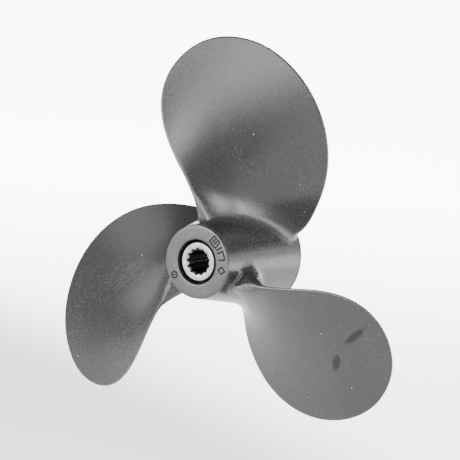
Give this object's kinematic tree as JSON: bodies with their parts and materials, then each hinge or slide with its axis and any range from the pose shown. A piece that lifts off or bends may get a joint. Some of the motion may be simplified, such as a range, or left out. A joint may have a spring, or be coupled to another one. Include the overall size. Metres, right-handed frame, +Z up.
{
  "type": "outboard boat propeller",
  "caption": "Right-hand boat propeller: wide cast blades on a flared barrel, turning through a pressed rubber slip hub on a splined sleeve.",
  "frame": {"origin": "on the shaft axis, in the plane of the splined sleeve's forward thrust face, at the mouth of its pilot bore", "axes": "+Y forward along the propeller shaft, towards the engine; +Z up through blade 1; +X to the right of a viewer who stands aft and looks forward"},
  "size_m": [0.2722, 0.0726, 0.2515],
  "materials": {
    "painted_casting": "satin dark grey paint on a sand-cast aluminium surface",
    "bush_rubber": "matt moulded rubber",
    "sleeve_metal": "machined, with fine turning marks"
  },
  "bodies": {
    "sleeve": {"splined_sleeve": "sleeve_metal"},
    "bush": {"rubber_bush": "bush_rubber"},
    "casting": {"hub_barrel": "painted_casting", "blade_1": "painted_casting", "blade_2": "painted_casting", "blade_3": "painted_casting"}
  },
  "joints": [
    {"name": "bush_windup", "type": "hinge", "parent": "sleeve", "child": "bush", "pos_m": [0, -0.0341, 0], "axis": [0, 1, 0], "range_deg": [-6, 6], "stiffness_Nm_per_rad": 1000},
    {"name": "hub_slip", "type": "hinge", "parent": "bush", "child": "casting", "pos_m": [0, -0.0341, 0], "axis": [0, 1, 0], "continuous": true}
  ]
}
